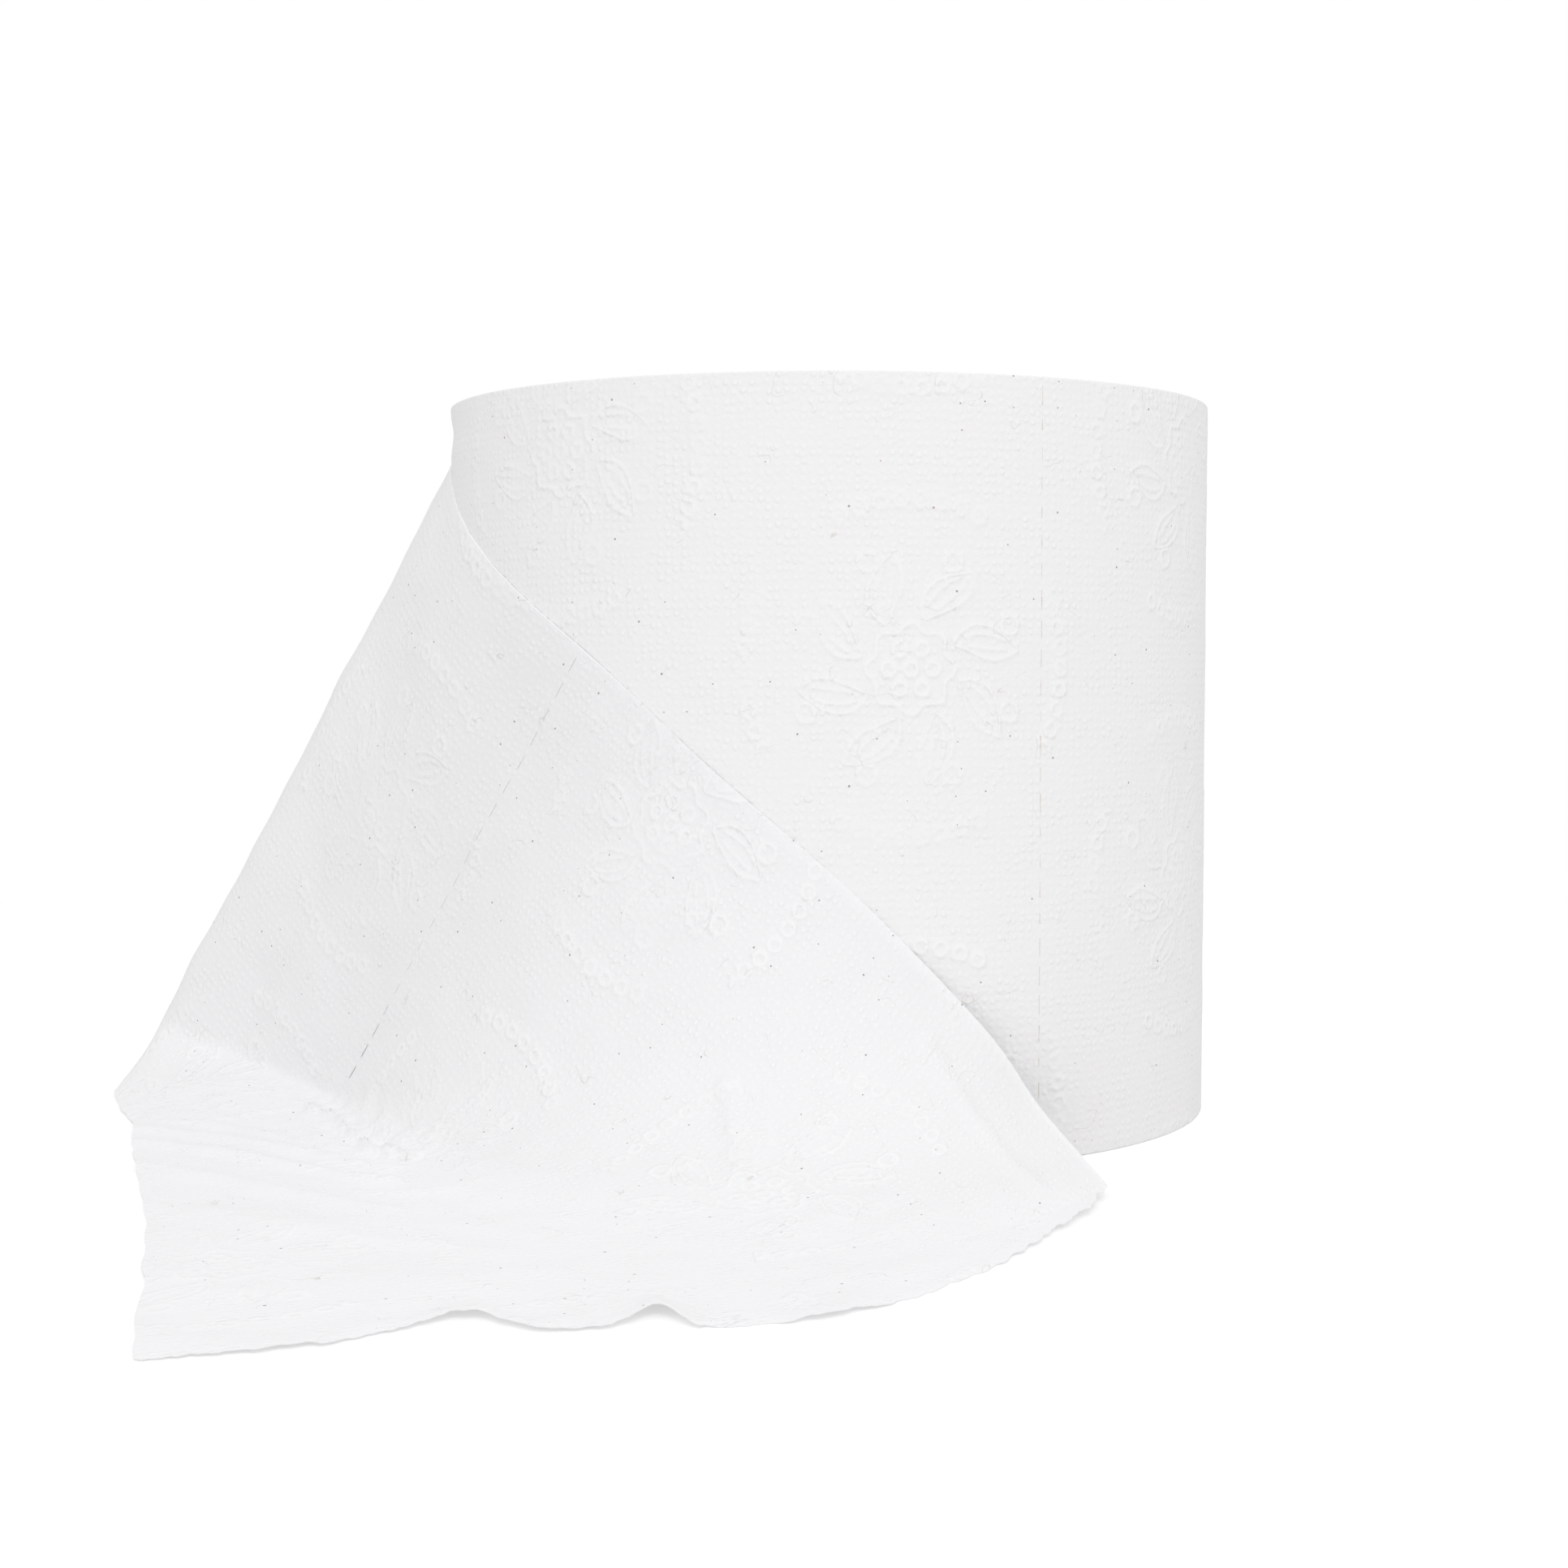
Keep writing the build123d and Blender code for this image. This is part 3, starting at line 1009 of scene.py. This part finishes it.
def creased(along, up, to_tear):
    """Height of the folds out of the sheet, in mm."""
    rise = sum(tall * uneven(along, up, length, seed) for tall, length, seed in SHEET_WAVES)
    rise *= np.clip((ROLL_HEIGHT - up) / LEAN_FADE, 0, 1)
    for line, tall, half_width in CREASES:
        share = np.clip(1 - line_distance(along, up, line) / half_width, 0, 1)
        rise += tall * share**CREASE_POWER
    crumpled = bell(line_distance(along, up, CREASES[CRUMPLED_CREASE][0]), CRUMPLE_REACH)
    rise += CRUMPLE_HEIGHT * crumpled * uneven(along, up, CRUMPLE_LENGTH, CRUMPLE_SEED)
    near_tear = bell(to_tear, ARCH_REACH)
    rise += near_tear * (EDGE_LIFT * uneven(up, up * 0, LIFT_LENGTH, LIFT_SEED) - EDGE_DROP)
    for middle, tall, half_width in ARCHES:
        rise += tall * near_tear * bell(up - middle, half_width)
    below_edge = ROLL_HEIGHT - up
    curl = bell(below_edge, CURL_SIZE[1]) * bell(along - CURL_PLACE, CURL_SIZE[0])
    bead = bell(below_edge, BEAD_WIDTH)
    return rise + CURL_HEIGHT * curl + BEAD_HEIGHT * bead


# %% [markdown]
# ## Two sheets
#
# The perforation divides the loose end in two. Each sheet is a closed mesh with both
# faces and a thin rim. Along the perforation the two borders touch at the tabs and stand
# a little apart at the slits, so the slits are real gaps. The torn border and the one on
# the floor grow thinner towards the rim. The edges round the border are sharp, so that
# no soft shading runs round the rim.

# %% Build a sheet of the loose end
SHEET_THICKNESS = 0.28
BORDER_SHARE = 0.22
BORDER_WIDTH = 1.5
FLOOR_ROOM = 0.03
EDGE_WAVE = 0.003
EDGE_WAVE_LENGTH = 11.0
EDGE_WAVE_FADE = 12
EDGE_WAVE_SEED = 31
NO_TEAR = 1e3
# painted light: the paper is painted whiter below this height over the floor, and a painted highlight runs
# along the leaning edge over this width
BACKLIGHT_BELOW = 3.0
LEAN_EDGE_HIGHLIGHT = 0.9


def sheet_piece(name, place, across, torn_end):
    """Closed sheet over a grid of places and shares across, torn off at its end or not."""
    step = 1e-3
    along = along_at(place)
    wave = np.clip(0.5 + 0.5 * uneven(along, along * 0, EDGE_WAVE_LENGTH, EDGE_WAVE_SEED), 0, 1)
    across = across + EDGE_WAVE * (1 - across) ** EDGE_WAVE_FADE * wave
    base = loose_sheet(place, across)
    along_side = loose_sheet(place + step, across) - loose_sheet(place - step, across)
    higher = loose_sheet(place, np.minimum(across + step, 1))
    up_side = higher - loose_sheet(place, np.maximum(across - step, 0))
    normal = np.cross(along_side, up_side)
    normal /= np.linalg.norm(normal, axis=-1, keepdims=True)
    up = across * ROLL_HEIGHT
    to_tear = along[-1:] - along if torn_end else np.full_like(along, NO_TEAR)
    rise = relief(along, up) + creased(along, up, to_tear)
    middle = base + normal * rise[..., None]
    to_border = np.minimum(up, to_tear)
    thin = BORDER_SHARE + (1 - BORDER_SHARE) * np.clip(to_border / BORDER_WIDTH, 0, 1)
    half_thickness = SHEET_THICKNESS / 2 * thin
    middle[..., 2] = np.maximum(middle[..., 2], half_thickness + FLOOR_ROOM)
    half = normal * half_thickness[..., None]
    rows, columns = place.shape
    points = np.concatenate([(middle + half).reshape(-1, 3), (middle - half).reshape(-1, 3)])
    count = rows * columns
    number = np.arange(count).reshape(rows, columns)
    border = np.concatenate([number[0, :-1], number[:-1, -1], number[-1, :0:-1], number[:0:-1, 0]])
    after = np.roll(border, -1)
    rim = np.stack([after, border, border + count, after + count], axis=-1)
    faces = [grid_quads(rows, columns, flip=True), grid_quads(rows, columns, start=count), rim]
    # painted light: whiter near the floor, and a painted bright line along the leaning edge
    backlight_share = np.clip(1 - middle[..., 2] / BACKLIGHT_BELOW, 0, 1)
    backlight_share = np.maximum(backlight_share, bell(ROLL_HEIGHT - up, LEAN_EDGE_HIGHLIGHT))
    web = np.stack([along, up, backlight_share], axis=-1).reshape(-1, 3)
    faces = np.concatenate(faces)
    piece = mesh_piece(name, points, faces, np.concatenate([web, web])[faces])
    on_border = np.zeros(2 * count, bool)
    on_border[border] = on_border[border + count] = True
    ends = np.zeros(2 * len(piece.data.edges), np.int32)
    piece.data.edges.foreach_get("vertices", ends)
    sharp = on_border[ends.reshape(-1, 2)].all(axis=1)
    piece.data.attributes.new("sharp_edge", "BOOLEAN", "EDGE").data.foreach_set("value", sharp)
    return piece


# %% [markdown]
# The slits show on the leaning part, more so further down where the sheets pull apart.
# On the floor the perforation lies shut.

# %% Slits between the two sheets
SLIT_SHARE = 0.55
SLIT_SETBACK = 0.16
SHUT_BELOW = 0.29
NARROW_FROM = 0.52
NARROWING = 0.17
NARROW_SHARE = 0.22


def slit_open(across):
    """How far a slit is open, from 0 at a tab to 1, along the perforation."""
    up = across * ROLL_HEIGHT
    inside = np.abs((up / SLIT_PITCH) % 1 - 0.5) < SLIT_SHARE / 2
    return inside * (across > SHUT_BELOW) * np.clip((NARROW_FROM - across) / NARROWING, NARROW_SHARE, 1)


ACROSS_COUNT = 190
FIRST_ROWS = 220
LAST_ROWS = 215
FIRST_PLACE = 0.2
shares_across = np.linspace(0, 1, ACROSS_COUNT)
per_place = 2 * (along_at(PERFORATION_PLACE + 0.5) - perforation_along)
slit = SLIT_SETBACK * slit_open(shares_across) / per_place
first_share = np.linspace(0, 1, FIRST_ROWS)[:, None]
first_place = FIRST_PLACE + (PERFORATION_PLACE - slit - FIRST_PLACE)[None, :] * first_share
last_share = np.linspace(0, 1, LAST_ROWS)[:, None]
last_start = (PERFORATION_PLACE + slit)[None, :]
last_place = last_start + (torn_place(shares_across)[None, :] - last_start) * last_share
first_across = np.broadcast_to(shares_across, first_place.shape)
last_across = np.broadcast_to(shares_across, last_place.shape)
leaning_sheet = sheet_piece("leaning_sheet", first_place, first_across, torn_end=False)
torn_sheet = sheet_piece("torn_sheet", last_place, last_across, torn_end=True)
for sheet in (leaning_sheet, torn_sheet):
    sheet.data.materials.append(tissue)

# %% [markdown]
# ## The core
#
# The tube is already a right shape in the frame, so it only gets a finish: grey-brown card
# with the line of its spiral wrap.

# %% Card finish
WRAP_PITCH = 0.062
CARD_DARK = (0.30, 0.23, 0.165, 1)
CARD_LIGHT = (0.47, 0.385, 0.295, 1)
CARD_SEAM = (0.16, 0.12, 0.085, 1)
SEAM_SHARE = 0.008
SEAM_DARKNESS = 0.6
PULP_SCALE = 420.0
PULP_SHARE = 0.6
PULP_HEIGHT = 0.4
CARD_CLOUD_SCALE = 60.0
CARD_LEVELS = (0.32, 0.68)
CARD_ROUGH = 0.0002


def card_finish():
    """Finish of the card tube."""
    finish, tree, shader = new_finish("core_card")
    place = node(tree, "ShaderNodeTexCoord", {}, {}, "Object")
    x, y, z = parts_of(place)
    turned = np.arctan2(y, x) * (1 / math.tau)
    wrap = turned + z * (1 / WRAP_PITCH)
    seam = np.abs((wrap % 1.0) - 0.5) < SEAM_SHARE
    pulp = noise(tree, place, PULP_SCALE, 6.0)
    cloud = noise(tree, place, CARD_CLOUD_SCALE, 2.0)
    tone = rising(tree, pulp * PULP_SHARE + cloud * (1 - PULP_SHARE), *CARD_LEVELS)
    colour = mix_colour(tree, tone, CARD_DARK, CARD_LIGHT)
    colour = mix_colour(tree, seam * SEAM_DARKNESS, colour, CARD_SEAM)
    colour.into(shader, "Base Color")
    sockets = {"Height": pulp * PULP_HEIGHT - seam, "Strength": 0.5, "Distance": CARD_ROUGH}
    bump = node(tree, "ShaderNodeBump", {}, sockets, "Normal")
    bump.into(shader, "Normal")
    shader.inputs["Roughness"].default_value = 0.85
    return finish


core_tube = bpy.data.objects["core_tube"]
core_tube.data.materials.clear()
core_tube.data.materials.append(card_finish())

# %% [markdown]
# ## Rides
#
# All paper pieces ride on the root and take the place of the one paper solid, and the
# length of the torn sheet from the perforation is worked out.

paper_pieces = [wound_roll, top_turns, base_turns, *slit_rows, leaning_sheet, torn_sheet]
for piece in paper_pieces:
    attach(piece, "root")
    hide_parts("paper_roll")
torn_along = along_at(torn_place(shares_across)) - perforation_along

# %% [markdown]
# ## Floor and light
#
# A white floor runs into a white background. For the camera the floor glows a little, so
# it comes out white and still keeps the soft shadow under the paper. Further out it is
# plain white to the camera, so no horizon shows.

# %% Floor
FLOOR_HALF = 3.0
FLOOR_COLOUR = (0.82, 0.82, 0.82, 1)
SEEN_COLOUR = (0.46, 0.46, 0.46, 1)
FLOOR_GLOW = 0.62
WHITE_FROM = 0.16
WHITE_TO = 0.34

floor_mesh = bpy.data.meshes.new("floor")
corner_signs = [(-1, -1), (1, -1), (1, 1), (-1, 1)]
floor_mesh.from_pydata([(x * FLOOR_HALF, y * FLOOR_HALF, 0) for x, y in corner_signs], [], [(0, 1, 2, 3)])
floor = bpy.data.objects.new("floor", floor_mesh)
show(floor)

floor_finish, floor_tree, floor_shader = new_finish("white_floor")
floor_shader.inputs["Roughness"].default_value = 0.9
floor_shader.inputs["Specular IOR Level"].default_value = 0.0
seen = node(floor_tree, "ShaderNodeLightPath", {}, {}, "Is Camera Ray")
floor_colour = mix_colour(floor_tree, seen, FLOOR_COLOUR, SEEN_COLOUR)
floor_colour.into(floor_shader, "Base Color")
glow = node(floor_tree, "ShaderNodeEmission", {}, {"Strength": seen * FLOOR_GLOW})
paper_side = Term(floor_tree, floor_shader.outputs[0])
lit = node(floor_tree, "ShaderNodeAddShader", {}, {0: paper_side, 1: glow})
plain = node(floor_tree, "ShaderNodeEmission", {}, {"Strength": 1.0})
floor_place = node(floor_tree, "ShaderNodeTexCoord", {}, {}, "Object")
away = node(floor_tree, "ShaderNodeVectorMath", {"operation": "LENGTH"}, {0: floor_place}, "Value")
far_share = rising(floor_tree, away, WHITE_FROM, WHITE_TO) * seen
surface = node(floor_tree, "ShaderNodeMixShader", {}, {0: far_share, 1: lit, 2: plain})
surface.into(floor_tree.nodes["Material Output"], "Surface")
floor_mesh.materials.append(floor_finish)

# %% World and lamp
WORLD_LIGHT = 0.80
WORLD_COLOUR = (1.0, 1.0, 1.0, 1)
KEY_PLACE = (0.12, -0.98, 1.03)
KEY_AIM = (0, 0, 0.05)
KEY_SIDE = 0.6
KEY_POWER = 4.3
KEY_COLOUR = (0.97, 0.97, 1.0)

world = bpy.data.worlds.new("studio")
bpy.context.scene.world = world
world.use_nodes = True
background = world.node_tree.nodes["Background"]
seen = node(world.node_tree, "ShaderNodeLightPath", {}, {}, "Is Camera Ray")
at_least(WORLD_LIGHT, seen).into(background, "Strength")
background.inputs["Color"].default_value = WORLD_COLOUR

lamp_data = bpy.data.lights.new("key_lamp", "AREA")
lamp_data.size = KEY_SIDE
lamp_data.energy = KEY_POWER
lamp_data.color = KEY_COLOUR
lamp = bpy.data.objects.new("key_lamp", lamp_data)
lamp.location = KEY_PLACE
aim_x, aim_y, aim_z = np.array(KEY_AIM) - np.array(KEY_PLACE)
tilt = math.atan2(math.hypot(aim_x, aim_y), -aim_z)
lamp.rotation_euler = (tilt, 0, math.atan2(-aim_x, aim_y))
show(lamp)

bpy.context.scene.view_settings.view_transform = "Standard"
print("world", WORLD_LIGHT, "key", KEY_POWER, "W")
